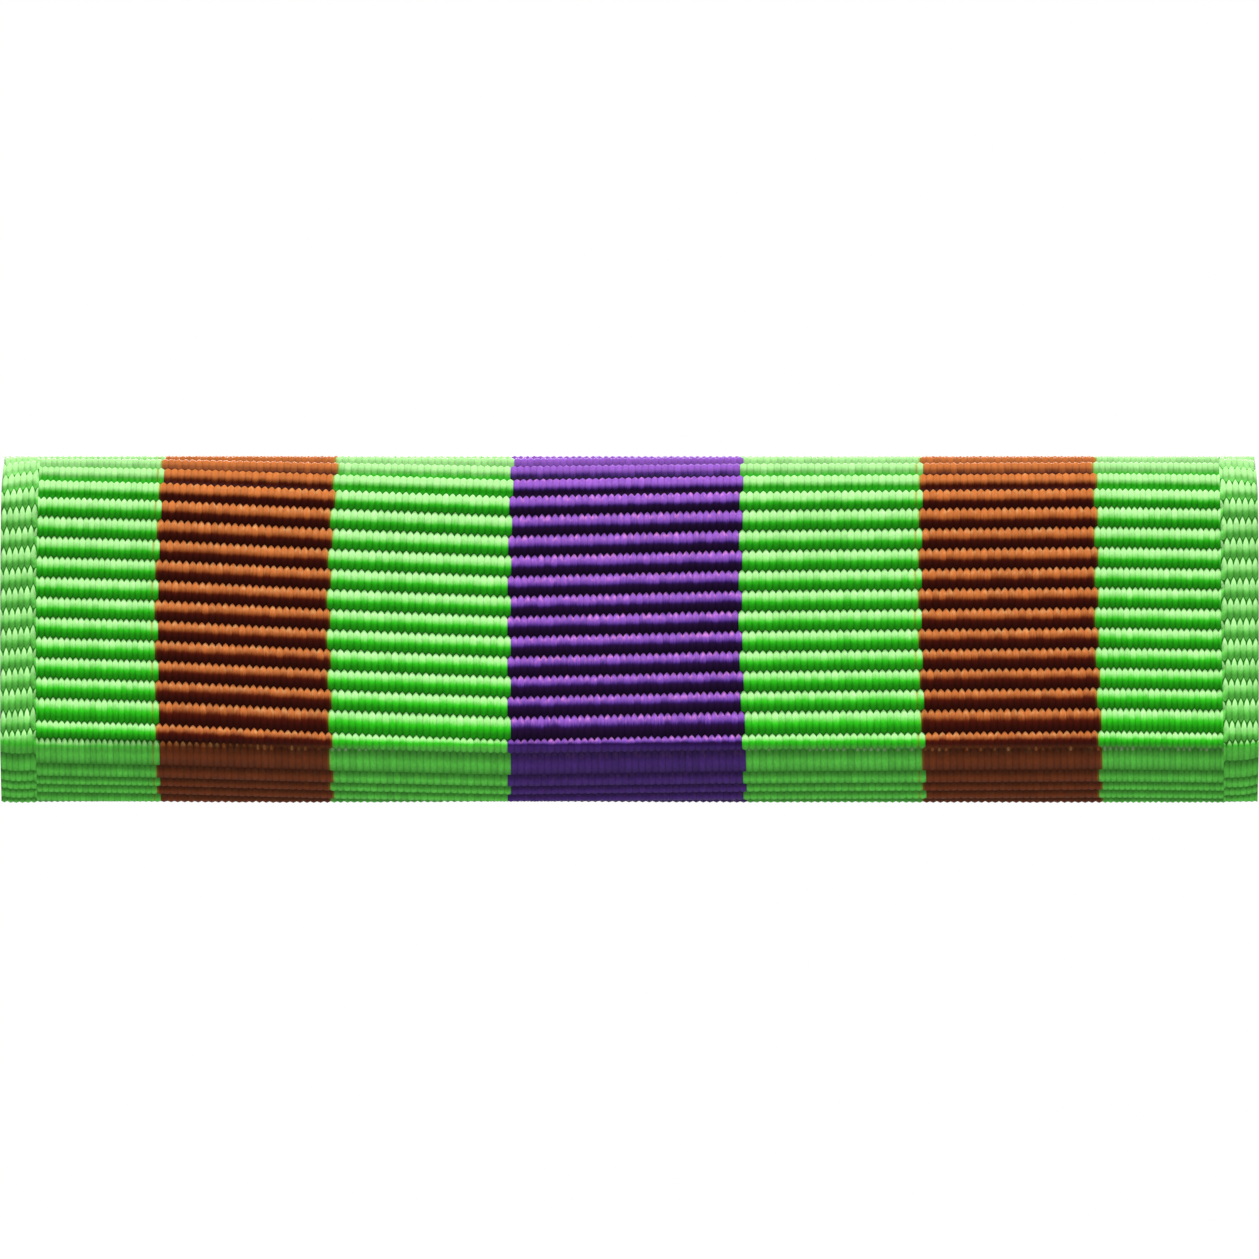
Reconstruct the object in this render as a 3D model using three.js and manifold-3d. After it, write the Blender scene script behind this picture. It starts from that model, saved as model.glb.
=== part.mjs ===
// Service ribbon bar: a striped woven ribbon wrapped round a sheet brass carrier, which slides on a
// hat-section mounting bar. Two pins stand on the back of the bar, and each holds a butterfly clutch.
//
// Frame, in millimetres: +X along the bar, -Y out of the ribbon's face, +Z up. The origin is the
// centre of the bar's garment face, midway between the two pins.

import * as THREE from 'three';
import { mergeVertices } from 'three/addons/utils/BufferGeometryUtils.js';
import Module from 'manifold-3d';

const wasm = await Module();
wasm.setup();

// ---- Driving dimensions ----

// The ribbon's face
const ribbonWidth = 35;
const faceHeight = 9.52;
const ribbonThickness = 0.42;
const topFrontRadius = 1.4;
const topBackRadius = 0.8;
const creaseRadius = 0.45;
const creaseAngle = 52; // lean of the wall under the crease, in degrees from the face
const wallAngle = 64; // lean of the same wall where it reaches the back
const creaseWallLength = 1.35;
const wallRadius = 4;
const bottomBackRadius = 0.45;
const ribbonTuck = 0.6; // length of each end inside the channel

// The carrier, a C of sheet brass
const carrierSheet = 0.3;
const carrierBendRadius = 0.6;
const tightBendRadius = 0.02; // inside radius of sheet that is folded hard over
const carrierInset = 0.25; // the ribbon's overhang at each end
const lipLap = 0.9; // how far each lip reaches over the bar's rail

// The mounting bar, a hat section
const barSheet = 0.5;
const barInnerBend = 0.15;
const barInset = 0.35; // how far the bar stops short of the carrier's ends
const ribbonRecess = 0.13; // the garment face stands this far behind the ribbon

// The pins
const pinSpacing = 20;
const pinRadius = 0.5;
const pinPointLength = 0.9;
const pinPointRadius = 0.08;
const pinHeadThickness = 0.5;
const pinNeckDepth = 0.1;
const pinNeckLength = 0.8;
const pinCollarLength = 0.225; // full width again, between the neck and the point

// The clutches
const garmentThickness = 2.2;
const capRadius = 4.3;
const clutchSheet = 0.3;
const capRimHeight = 0.6;
const capRimRadius = 0.22;
const eyeletFlange = 0.43; // how far the eyelet's rim turns out past its wall
const saddleReach = 3.5;
const saddleWidth = 4.2;
const wingReach = 5.7;
const wingHeight = 3.05; // from the foot to the jaw, between the middles of the sheet
const wingWidth = 5;
const jawWidth = 3.4;
const jawOverrun = 1.7; // how far each jaw reaches past the pin
const shoulderStart = 0.3; // from the eyelet's rim to where the wing starts to widen
const shoulderLength = 1.6;
const earRadius = 1.5;
const squeezeTravel = 0.5;

// Clearances
const clothGap = 0.05; // ribbon to carrier
const hookGap = 0.15; // ribbon to the edge of each lip, where it turns into the channel
const topPuff = 0.2; // air between the ribbon and the top of the carrier
const slideClearance = 0.1; // bar to carrier and to the tucked ribbon
const railEdgeClearance = 0.3; // rail edge to the wall of the channel
const slotSideClearance = 0.15; // raised web to the ribbon at the lips
const sheetGap = 0.05; // between parts that touch
const shankClearance = 0.05; // pin to the hole in the bar
const headClearance = 0.05; // pin head to the bends inside the bar
const throatClearance = 0.06; // pin to the jaw that holds it
const eyeClearance = 0.18; // pin to the same jaw when it is squeezed
const footClearance = 0.2; // eyelet to a wing's foot when it is squeezed
const eyeletClearance = 0.12; // pin to the eyelet

const roundSegments = 32;
const bendSegments = 5;

// ---- Shape helpers ----

const radians = THREE.MathUtils.degToRad;

/** Points [u, v] along straight runs between corners [u, v, radius], with each corner rounded. */
function roundedPath(corners) {
  const points = [];
  corners.forEach(([u, v, radius], index) => {
    if (!radius) {
      points.push([u, v]);
      return;
    }
    const corner = new THREE.Vector2(u, v);
    const before = new THREE.Vector2(...corners[index - 1].slice(0, 2)).sub(corner).normalize();
    const after = new THREE.Vector2(...corners[index + 1].slice(0, 2)).sub(corner).normalize();
    const half = Math.acos(THREE.MathUtils.clamp(before.dot(after), -1, 1)) / 2;
    const middle = before.clone().add(after).normalize();
    const centre = corner.clone().addScaledVector(middle, radius / Math.sin(half));
    const start = corner.clone().addScaledVector(before, radius / Math.tan(half)).sub(centre);
    const turn = (Math.PI - 2 * half) * Math.sign(before.x * after.y - before.y * after.x);
    const steps = Math.max(2, Math.ceil((Math.abs(turn) / Math.PI) * 2 * bendSegments));
    for (let step = 0; step <= steps; step += 1) {
      const arm = start.clone().rotateAround(new THREE.Vector2(), -turn * (step / steps));
      points.push([centre.x + arm.x, centre.y + arm.y]);
    }
  });
  return points;
}

/** The unit vector to the left of the run from one point to the next. */
function leftOf([u0, v0], [u1, v1]) {
  const length = Math.hypot(u1 - u0, v1 - v0);
  return [-(v1 - v0) / length, (u1 - u0) / length];
}

/** The same path moved sideways, to the left of its direction. */
function offsetPath(points, distance) {
  return points.map((point, index) => {
    const last = points.length - 1;
    const before = leftOf(points[Math.max(index - 1, 0)], points[Math.max(index, 1)]);
    const after = leftOf(points[Math.min(index, last - 1)], points[Math.min(index + 1, last)]);
    const scale = distance / (1 + before[0] * after[0] + before[1] * after[1]);
    return [point[0] + (before[0] + after[0]) * scale, point[1] + (before[1] + after[1]) * scale];
  });
}

/** The closed outline of sheet of one thickness whose middle follows a path. */
function sheetOutline(path, thickness) {
  const left = offsetPath(path, thickness / 2);
  const right = offsetPath(path, -thickness / 2);
  return left.concat(right.reverse());
}

function shapeOf(outline) {
  return new THREE.Shape(outline.map(([u, v]) => new THREE.Vector2(u, v)));
}

/** A prism of a [y, z] outline, centred on X. */
function prismAlongX(outline, length) {
  const geometry = new THREE.ExtrudeGeometry(shapeOf(outline), { depth: length, bevelEnabled: false });
  geometry.translate(0, 0, -length / 2);
  const toX = new THREE.Matrix4().makeBasis(
    new THREE.Vector3(0, 1, 0),
    new THREE.Vector3(0, 0, 1),
    new THREE.Vector3(1, 0, 0),
  );
  return geometry.applyMatrix4(toX);
}

/** A prism of an [x, y] outline, centred on Z. */
function prismAlongZ(outline, length) {
  const geometry = new THREE.ExtrudeGeometry(shapeOf(outline), { depth: length, bevelEnabled: false });
  return geometry.translate(0, 0, -length / 2);
}

/** A prism of an [x, z] shape between two levels of Y. */
function prismAlongY(shape, low, high) {
  const options = { depth: high - low, bevelEnabled: false, curveSegments: roundSegments / 2 };
  return new THREE.ExtrudeGeometry(shape, options).rotateX(Math.PI / 2).translate(0, high, 0);
}

function solidOf(geometry) {
  const bare = geometry.clone();
  bare.deleteAttribute('normal');
  bare.deleteAttribute('uv');
  const merged = mergeVertices(bare, 1e-4);
  return new wasm.Manifold(new wasm.Mesh({
    numProp: 3,
    vertProperties: new Float32Array(merged.attributes.position.array),
    triVerts: new Uint32Array(merged.index.array),
  }));
}

function geometryOf(solid) {
  const mesh = solid.getMesh();
  const geometry = new THREE.BufferGeometry();
  geometry.setAttribute('position', new THREE.BufferAttribute(mesh.vertProperties, 3));
  geometry.setIndex(new THREE.BufferAttribute(mesh.triVerts, 1));
  geometry.computeVertexNormals();
  return geometry;
}

// ---- Materials ----

const clothMaterial = new THREE.MeshStandardMaterial({ color: 0x65a055, roughness: 0.75, metalness: 0 });
const brassMaterial = new THREE.MeshStandardMaterial({ color: 0xc79a48, roughness: 0.35, metalness: 1 });
const steelMaterial = new THREE.MeshStandardMaterial({ color: 0xc9cbd0, roughness: 0.25, metalness: 1 });
const clutchMaterial = new THREE.MeshStandardMaterial({ color: 0xd0a654, roughness: 0.3, metalness: 1 });

const ribbonBar = new THREE.Group();

function addMesh(group, name, geometry, material) {
  const mesh = new THREE.Mesh(geometry, material.clone());
  mesh.name = name;
  group.add(mesh);
  return mesh;
}

// ---- Levels through the thickness, from the garment face at 0 towards the ribbon's face ----

const ribbonBackOuter = -ribbonRecess;
const ribbonBackMiddle = ribbonBackOuter - ribbonThickness / 2;
const lipMiddle = ribbonBackOuter - ribbonThickness - clothGap - carrierSheet / 2;
const tuckMiddle = lipMiddle - carrierSheet / 2 - clothGap - ribbonThickness / 2;
const railMiddle = tuckMiddle - ribbonThickness / 2 - slideClearance - barSheet / 2;
const plateMiddle = railMiddle - barSheet / 2 - slideClearance - carrierSheet / 2;
const ribbonFrontOuter = plateMiddle - carrierSheet / 2 - clothGap - ribbonThickness;
const ribbonFrontMiddle = ribbonFrontOuter + ribbonThickness / 2;

// ---- Heights, from the bar's centre line ----

const wallDepth = ribbonBackOuter - ribbonFrontOuter;
const upperDepth = creaseWallLength * Math.sin(radians(creaseAngle));
const upperDrop = creaseWallLength * Math.cos(radians(creaseAngle));
const lowerDrop = (wallDepth - upperDepth) / Math.tan(radians(wallAngle));
// A round corner stops short of the sharp one by this much
const cornerLift = bottomBackRadius * ((1 + Math.cos(radians(wallAngle))) / Math.sin(radians(wallAngle)) - 1);
const creaseDrop = upperDrop + lowerDrop - cornerLift;

const topStack = railEdgeClearance + carrierSheet + topPuff + ribbonThickness;
// The leaning wall passes the rail's front corner, so its distance is measured along the rail's face
const wallSkin = ribbonThickness + clothGap + carrierSheet + railEdgeClearance / 2;
const railFace = railMiddle - barSheet / 2;
const wallAtRail = (wallSkin - (railFace - ribbonFrontOuter) * Math.cos(radians(creaseAngle)))
  / Math.sin(radians(creaseAngle));
const bottomStack = creaseDrop + wallAtRail;

const barHalfWidth = (faceHeight - topStack - bottomStack) / 2;
const faceTop = barHalfWidth + topStack;
const faceBottom = faceTop - faceHeight;
const creaseLevel = faceBottom + creaseDrop;

const lipEdge = barHalfWidth - lipLap;
const hookMiddle = lipEdge - hookGap - ribbonThickness / 2;
const webHalfWidth = hookMiddle - ribbonThickness / 2 - slotSideClearance;

/** The leaning wall under the crease, set in from the ribbon's outer skin. */
function leaningWall(inset, backLevel) {
  const upper = radians(creaseAngle);
  const lower = radians(wallAngle);
  const front = ribbonFrontOuter + inset;
  const crease = creaseLevel + inset * Math.tan(upper / 2);
  const kneeShift = inset * Math.tan((lower - upper) / 2);
  const knee = [
    ribbonFrontOuter + upperDepth + inset * Math.cos(upper) + kneeShift * -Math.sin(upper),
    creaseLevel - upperDrop + inset * Math.sin(upper) + kneeShift * Math.cos(upper),
  ];
  const foot = [backLevel, knee[1] - (backLevel - knee[0]) / Math.tan(lower)];
  return {
    crease: [front, crease, Math.max(creaseRadius - inset, carrierSheet / 2 + tightBendRadius)],
    knee: [...knee, wallRadius - inset],
    foot,
  };
}

// ---- Ribbon ----

const hookRadius = (ribbonBackMiddle - tuckMiddle) / 2;

function buildRibbon() {
  const inset = ribbonThickness / 2;
  const wall = leaningWall(inset, ribbonBackMiddle);
  const path = roundedPath([
    [tuckMiddle, hookMiddle + hookRadius + ribbonTuck],
    [tuckMiddle, hookMiddle, hookRadius * 0.99],
    [ribbonBackMiddle, hookMiddle, hookRadius * 0.99],
    [ribbonBackMiddle, faceTop - inset, topBackRadius - inset],
    [ribbonFrontMiddle, faceTop - inset, topFrontRadius - inset],
    wall.crease,
    wall.knee,
    [...wall.foot, bottomBackRadius - inset],
    [ribbonBackMiddle, -hookMiddle, hookRadius * 0.99],
    [tuckMiddle, -hookMiddle, hookRadius * 0.99],
    [tuckMiddle, -hookMiddle - hookRadius - ribbonTuck],
  ]);
  return prismAlongX(sheetOutline(path, ribbonThickness), ribbonWidth);
}

// ---- Carrier ----

const carrierLength = ribbonWidth - 2 * carrierInset;

function buildCarrier() {
  const inset = ribbonThickness + clothGap + carrierSheet / 2;
  const wall = leaningWall(inset, lipMiddle);
  const topWall = faceTop - ribbonThickness - topPuff - carrierSheet / 2;
  const path = roundedPath([
    [lipMiddle, lipEdge],
    [lipMiddle, topWall, carrierBendRadius],
    [plateMiddle, topWall, carrierBendRadius],
    wall.crease,
    wall.knee,
    [...wall.foot, carrierSheet / 2 + tightBendRadius],
    [lipMiddle, -lipEdge],
  ]);
  return prismAlongX(sheetOutline(path, carrierSheet), carrierLength);
}

// ---- Mounting bar ----

const barLength = carrierLength - 2 * barInset;

function buildBar() {
  const riser = webHalfWidth - barSheet / 2;
  const webMiddle = -barSheet / 2;
  const bendRadius = barInnerBend + barSheet / 2;
  const path = roundedPath([
    [railMiddle, barHalfWidth],
    [railMiddle, riser, bendRadius],
    [webMiddle, riser, bendRadius],
    [webMiddle, -riser, bendRadius],
    [railMiddle, -riser, bendRadius],
    [railMiddle, -barHalfWidth],
  ]);
  let bar = solidOf(prismAlongX(sheetOutline(path, barSheet), barLength));
  const holeRadius = pinRadius + shankClearance;
  for (const side of [-1, 1]) {
    const hole = new THREE.CylinderGeometry(holeRadius, holeRadius, barSheet * 3, roundSegments);
    hole.translate((side * pinSpacing) / 2, webMiddle, 0);
    bar = bar.subtract(solidOf(hole));
  }
  return geometryOf(bar);
}

// ---- Pins ----

const capFoot = garmentThickness;
const wingFootMiddle = clutchSheet * 2.5 + 2 * sheetGap;
const jawMiddle = wingFootMiddle + wingHeight;
const pinHeadRadius = webHalfWidth - barSheet - barInnerBend - headClearance;
const pinNeckRadius = pinRadius - pinNeckDepth;
const pinHeadBevel = 0.1;

function buildPin() {
  const headBack = -barSheet - sheetGap;
  const neckMiddle = capFoot + jawMiddle + (clutchSheet + sheetGap) / 2;
  const collar = neckMiddle + pinNeckLength / 2 + pinNeckDepth;
  const pointStart = collar + pinCollarLength;
  const pinEnd = pointStart + pinPointLength;
  const profile = [
    [0, headBack - pinHeadThickness],
    [pinHeadRadius - pinHeadBevel, headBack - pinHeadThickness],
    [pinHeadRadius, headBack - pinHeadThickness + pinHeadBevel],
    [pinHeadRadius, headBack],
    [pinRadius, headBack],
    [pinRadius, neckMiddle - pinNeckLength / 2 - pinNeckDepth],
    [pinNeckRadius, neckMiddle - pinNeckLength / 2],
    [pinNeckRadius, neckMiddle + pinNeckLength / 2],
    [pinRadius, collar],
    [pinRadius, pointStart],
    [pinPointRadius, pinEnd - pinPointRadius],
    [0, pinEnd],
  ];
  return new THREE.LatheGeometry(profile.map(([r, y]) => new THREE.Vector2(r, y)), roundSegments);
}

// ---- Clutch ----

const eyeletMiddle = pinRadius + eyeletClearance + clutchSheet / 2;
const eyeletFlangeRadius = eyeletMiddle + clutchSheet / 2 + eyeletFlange;
const eyeletTop = clutchSheet * 2 + 2 * sheetGap;

/** A shallow dish with a rolled rim. Its middle is drawn up into an eyelet that holds the saddle. */
function buildCap() {
  const half = clutchSheet / 2;
  const path = roundedPath([
    [eyeletFlangeRadius, eyeletTop + half],
    [eyeletMiddle, eyeletTop + half, half + tightBendRadius],
    [eyeletMiddle, half, half + tightBendRadius],
    [capRadius - half, half, capRimRadius],
    [capRadius - half, capRimHeight],
  ]);
  const outline = sheetOutline(path, clutchSheet).reverse();
  outline.push(outline[0]);
  return new THREE.LatheGeometry(outline.map(([r, y]) => new THREE.Vector2(r, y)), roundSegments);
}

/** The flat middle of the spring strip, held in the dish by the eyelet. */
function buildSaddle() {
  const shape = new THREE.Shape();
  const straight = saddleReach - saddleWidth / 2;
  const radius = saddleWidth / 2;
  shape.moveTo(-straight, -radius);
  shape.lineTo(straight, -radius);
  shape.absarc(straight, 0, radius, -Math.PI / 2, Math.PI / 2, false);
  shape.lineTo(-straight, radius);
  shape.absarc(-straight, 0, radius, Math.PI / 2, (Math.PI * 3) / 2, false);
  const hole = new THREE.Path();
  hole.absarc(0, 0, eyeletMiddle + clutchSheet / 2 + sheetGap, 0, Math.PI * 2, true);
  shape.holes.push(hole);
  const low = clutchSheet + sheetGap;
  return prismAlongY(shape, low, low + clutchSheet);
}

/** A wing's outline seen along the pin: a round-ended jaw that widens into a finger loop. */
function wingPlan() {
  const jaw = jawWidth / 2;
  const ear = wingWidth / 2;
  const shoulder = eyeletFlangeRadius + shoulderStart;
  const full = shoulder + shoulderLength;
  const middle = (shoulder + full) / 2;
  const beyond = wingReach + clutchSheet;
  const plan = new THREE.Shape();
  plan.moveTo(jaw - jawOverrun, -jaw);
  plan.lineTo(shoulder, -jaw);
  plan.bezierCurveTo(middle, -jaw, middle, -ear, full, -ear);
  plan.lineTo(beyond - earRadius, -ear);
  plan.quadraticCurveTo(beyond, -ear, beyond, earRadius - ear);
  plan.lineTo(beyond, ear - earRadius);
  plan.quadraticCurveTo(beyond, ear, beyond - earRadius, ear);
  plan.lineTo(full, ear);
  plan.bezierCurveTo(middle, ear, middle, jaw, shoulder, jaw);
  plan.lineTo(jaw - jawOverrun, jaw);
  plan.absarc(jaw - jawOverrun, 0, jaw, Math.PI / 2, (Math.PI * 3) / 2, false);
  return plan;
}

/** Half of the spring: a foot on the saddle, a finger loop, and a slotted jaw that crosses the pin. */
function buildWing(jawLevel) {
  const loopRadius = ((jawLevel - wingFootMiddle) / 2) * 0.99;
  const edge = wingReach - clutchSheet / 2;
  const footStart = eyeletFlangeRadius + squeezeTravel + footClearance;
  const path = roundedPath([
    [footStart, wingFootMiddle],
    [edge, wingFootMiddle, loopRadius],
    [edge, jawLevel, loopRadius],
    [-jawOverrun, jawLevel],
  ]);
  const strip = solidOf(prismAlongZ(sheetOutline(path, clutchSheet), wingWidth));

  const outline = solidOf(prismAlongY(wingPlan(), 0, jawLevel + clutchSheet));

  // The pin lies in the throat at rest, and in the eye when the wings are squeezed
  const slotDepth = clutchSheet * 2;
  const slotThroatRadius = pinRadius + throatClearance;
  const slotEyeRadius = pinRadius + eyeClearance;
  const throat = new THREE.CylinderGeometry(slotThroatRadius, slotThroatRadius, slotDepth, roundSegments);
  const eye = new THREE.CylinderGeometry(slotEyeRadius, slotEyeRadius, slotDepth, roundSegments);
  const slotReach = squeezeTravel + (eyeClearance - throatClearance);
  const joining = new THREE.BoxGeometry(slotReach, slotDepth, pinRadius * 2);
  throat.translate(0, jawLevel, 0);
  eye.translate(slotReach, jawLevel, 0);
  joining.translate(slotReach / 2, jawLevel, 0);
  const slot = solidOf(throat).add(solidOf(eye)).add(solidOf(joining));
  return geometryOf(strip.intersect(outline).subtract(slot));
}

function buildClutch(name, x, outwards) {
  const clutch = new THREE.Group();
  clutch.position.set(x, capFoot, 0);
  addMesh(clutch, `${name}_cap`, buildCap(), clutchMaterial);
  addMesh(clutch, `${name}_saddle`, buildSaddle(), clutchMaterial);
  const halves = [
    [`${name}_wing_outer`, outwards, jawMiddle],
    [`${name}_wing_inner`, -outwards, jawMiddle + clutchSheet + sheetGap],
  ];
  for (const [wingName, side, jawLevel] of halves) {
    const wing = addMesh(clutch, wingName, buildWing(jawLevel), clutchMaterial);
    wing.rotation.y = side > 0 ? 0 : Math.PI;
  }
  return clutch;
}

// ---- Assembly ----

addMesh(ribbonBar, 'ribbon', buildRibbon(), clothMaterial);
addMesh(ribbonBar, 'ribbon_carrier', buildCarrier(), brassMaterial);
addMesh(ribbonBar, 'mount_bar', buildBar(), steelMaterial);
for (const [side, outwards] of [['left', -1], ['right', 1]]) {
  const x = (outwards * pinSpacing) / 2;
  addMesh(ribbonBar, `pin_${side}`, buildPin(), steelMaterial).position.x = x;
  ribbonBar.add(buildClutch(`clutch_${side}`, x, outwards));
}

export default ribbonBar;
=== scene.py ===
"""Service ribbon bar: a woven ribbon on a brass carrier, which slides on a nickel bar with two
pins and their spring clutches."""

import math
from types import SimpleNamespace

import bmesh
import bpy
import numpy as np
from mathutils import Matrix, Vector


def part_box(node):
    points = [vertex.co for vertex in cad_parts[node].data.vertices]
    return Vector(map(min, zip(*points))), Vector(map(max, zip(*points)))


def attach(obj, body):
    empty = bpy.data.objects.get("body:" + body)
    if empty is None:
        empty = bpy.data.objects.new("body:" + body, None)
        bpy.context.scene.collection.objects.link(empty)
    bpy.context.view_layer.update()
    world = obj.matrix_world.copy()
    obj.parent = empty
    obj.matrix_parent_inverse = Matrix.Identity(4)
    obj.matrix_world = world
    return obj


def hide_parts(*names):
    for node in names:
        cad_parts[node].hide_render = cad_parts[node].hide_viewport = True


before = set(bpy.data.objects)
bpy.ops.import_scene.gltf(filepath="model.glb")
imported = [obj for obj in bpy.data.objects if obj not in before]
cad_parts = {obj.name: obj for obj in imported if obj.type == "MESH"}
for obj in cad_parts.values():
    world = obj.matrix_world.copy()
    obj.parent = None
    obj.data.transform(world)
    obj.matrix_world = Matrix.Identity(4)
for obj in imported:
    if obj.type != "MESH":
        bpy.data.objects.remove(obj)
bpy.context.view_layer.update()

MM = 0.001

# ---- The ribbon's section, in millimetres ----

thickness = 0.42
top_front_radius = 1.4
top_back_radius = 0.8
crease_radius = 0.45
crease_angle = math.radians(52)
crease_wall_length = 1.35
wall_radius = 4.0
bottom_back_radius = 0.45
foot_reach = 0.37  # how far the lower back corner, before rounding, is below the lowest level
hook_radius = 0.614
hook_fullness = 0.99  # the radius of the hook's two corners over half its depth
tuck_length = 0.6
wall_drop = 1.524  # from the crease to the ribbon's lowest level
lip_lap = 0.9  # of the carrier's lips over the bar's rails
hook_gap = 0.15  # between a lip's end and the cloth hooked round it
tight_bend_radius = 0.17

# ---- The weave, in millimetres ----

rib_pitch = 0.56
rows_per_rib = 6
rib_relief = 0.17
selvedge_relief = 0.11
under_relief = 0.55  # the ribs' relief on the wall, as a share of that on the face
back_relief = 0.3  # and where the cloth faces straight down
thread_relief = 0.02  # half the step from a thread over a rib to one under it
rib_fullness = 0.7  # below 1, a rib's top is broad and its valleys are narrow
tooth_length = 0.045
selvedge_tooth_length = 0.10
slack_spread = 0.12  # how much threads differ in reach and relief, as a share
lower_tooth_share = 0.3  # how far a tooth reaches down a rib, as a share of its reach up
wall_tooth_share = 0.25  # the teeth on the wall, as a share of those on the face
crown_height = 0.08  # of a rib's top over the section's skin
corner_rounding = 0.06
edge_roll = 0.2  # how far the cloth's two long edges roll back
edge_roll_width = 0.9
tucked_ribs = 3  # the ribs over which the weave flattens out at each tucked end
normal_step = 0.04
wall_start = 0.4  # how many ribs past the crease the wall's shorter teeth start
top_corner_share = 0.9  # the share of the height above which the top corners are rounded
crease_shift = 0.16  # along the skin, from the middle of the crease's bend to the first wall rib
painted_lean_bulge = 0.35  # how much more the painted light takes the face to lean back at its top than at its bottom, so the face is painted lighter towards its top and darker towards its bottom

# Each band of warp threads from the left edge: width, number of warps, colour
bands = [
    (1.00, 12, "green"),
    (3.30, 42, "green"),
    (4.87, 52, "brown"),
    (5.03, 53, "green"),
    (6.33, 69, "purple"),
    (5.00, 53, "green"),
    (5.00, 52, "brown"),
    (3.42, 43, "green"),
    (1.05, 12, "green"),
]
# At the left edge, each border between bands and the right edge, to the nearest 0.05: how far the
# ribs sag, and how far the warps are pulled to the right at the top of the bar and at its bottom
rib_sag = [-0.25, -0.35, -0.25, 0.0, 0.2, 0.05, 0.0, -0.05, 0.0, 0.0]
pull_at_top = [0.05, 0.1, 0.2, 0.25, 0.1, 0.05, 0.05, -0.05, -0.05, -0.05]
pull_at_bottom = [0.0, 0.0, 0.05, 0.1, 0.0, 0.15, 0.15, 0.15, 0.1, 0.0]

inner_columns = 8
selvedge_warps = bands[0][1]
warp_count = sum(band[1] for band in bands)
band_borders = np.append(0, np.cumsum([band[0] for band in bands]))
band_borders -= band_borders[-1] / 2
warp_borders = np.append(0, np.cumsum([band[1] for band in bands]))


def rounded_path(corners, step=math.radians(5)):
    """Points along straight runs between corners (u, v, radius), with each corner rounded."""
    points = []
    for index, (u, v, radius) in enumerate(corners):
        corner = np.array((u, v))
        if not radius:
            points.append(corner)
            continue
        before = np.array(corners[index - 1][:2]) - corner
        after = np.array(corners[index + 1][:2]) - corner
        before /= np.linalg.norm(before)
        after /= np.linalg.norm(after)
        half = math.acos(np.clip(before @ after, -1, 1)) / 2
        middle = (before + after) / np.linalg.norm(before + after)
        centre = corner + middle * radius / math.sin(half)
        start = corner + before * radius / math.tan(half) - centre
        turn = (math.pi - 2 * half) * np.sign(before[0] * after[1] - before[1] * after[0])
        steps = max(2, math.ceil(abs(turn) / step))
        for angle in np.linspace(0, -turn, steps + 1):
            c, s = math.cos(angle), math.sin(angle)
            points.append(centre + (c * start[0] - s * start[1], s * start[0] + c * start[1]))
    return np.array(points)


def box_mm(node):
    low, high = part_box(node)
    return np.array(low) / MM, np.array(high) / MM


def middle_of(node):
    low, high = box_mm(node)
    return (low + high) / 2


def rail_hook():
    """The level of the ribbon's upper hook: in from the bar's edge by the carrier's lip, the gap and
    the cloth itself."""
    return box_mm("mount_bar")[1][2] - lip_lap - hook_gap - thickness


def path_lengths(path):
    """The distance along a path to each of its points."""
    return np.append(0, np.cumsum(np.hypot(*np.diff(path, axis=0).T)))


def leaning_wall(inset, back_level):
    """Corners of the wall under the crease, set in from the ribbon's outer skin."""
    low, high = box_mm("ribbon")
    front, back, bottom = low[1], high[1], low[2]
    knee_y = front + crease_wall_length * math.sin(crease_angle)
    knee_z = bottom + wall_drop - crease_wall_length * math.cos(crease_angle)
    lower_angle = math.atan2(back - knee_y, knee_z - bottom + foot_reach)
    shift = inset * math.tan((lower_angle - crease_angle) / 2)
    knee_y += inset * math.cos(crease_angle) - shift * math.sin(crease_angle)
    knee_z += inset * math.sin(crease_angle) + shift * math.cos(crease_angle)
    crease_z = bottom + wall_drop + inset * math.tan(crease_angle / 2)
    return [
        (front + inset, crease_z, max(crease_radius - inset, tight_bend_radius)),
        (knee_y, knee_z, wall_radius - inset),
        (back_level, knee_z - (back_level - knee_y) / math.tan(lower_angle)),
    ]


def ribbon_section():
    """The ribbon's outer skin as (y, z) points, from the upper tucked end round to the lower one,
    and the distance along it to the crease."""
    low, high = box_mm("ribbon")
    front, back, top = low[1], high[1], high[2]
    hook = rail_hook()
    tuck = back - 2 * hook_radius / hook_fullness
    end = hook + hook_radius + tuck_length
    crease, knee, foot = leaning_wall(0.0, back)
    path = rounded_path([
        (tuck, end, 0),
        (tuck, hook, hook_radius),
        (back, hook, hook_radius),
        (back, top, top_back_radius),
        (front, top, top_front_radius),
        crease,
        knee,
        (*foot, bottom_back_radius),
        (back, -hook, hook_radius),
        (tuck, -hook, hook_radius),
        (tuck, -end, 0),
    ])
    nearest = np.argmin(np.hypot(path[:, 0] - front, path[:, 1] - crease[1]))
    lengths = path_lengths(path)
    return path, lengths, lengths[nearest] + crease_shift


def section_lean(path, lengths, along):
    """How far the skin leans back from upright, in radians, growing steadily round the section."""
    run = np.diff(path, axis=0)
    lean = np.unwrap(np.arctan2(-run[:, 0], -run[:, 1]))
    middles = (lengths[1:] + lengths[:-1]) / 2
    lean -= 2 * math.pi * np.round(np.interp(lengths[-1] * 0.5, middles, lean) / (2 * math.pi))
    return np.interp(along, middles, lean)


def wall_drift(rib):
    """How far each rib near the crease lies below an even spacing."""
    return np.interp(rib, [-2, -1, 0, 1, 2, 3, 4, 6], [0, 0.08, 0, 0.42, 0.45, 0.3, 0.15, 0])


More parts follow.
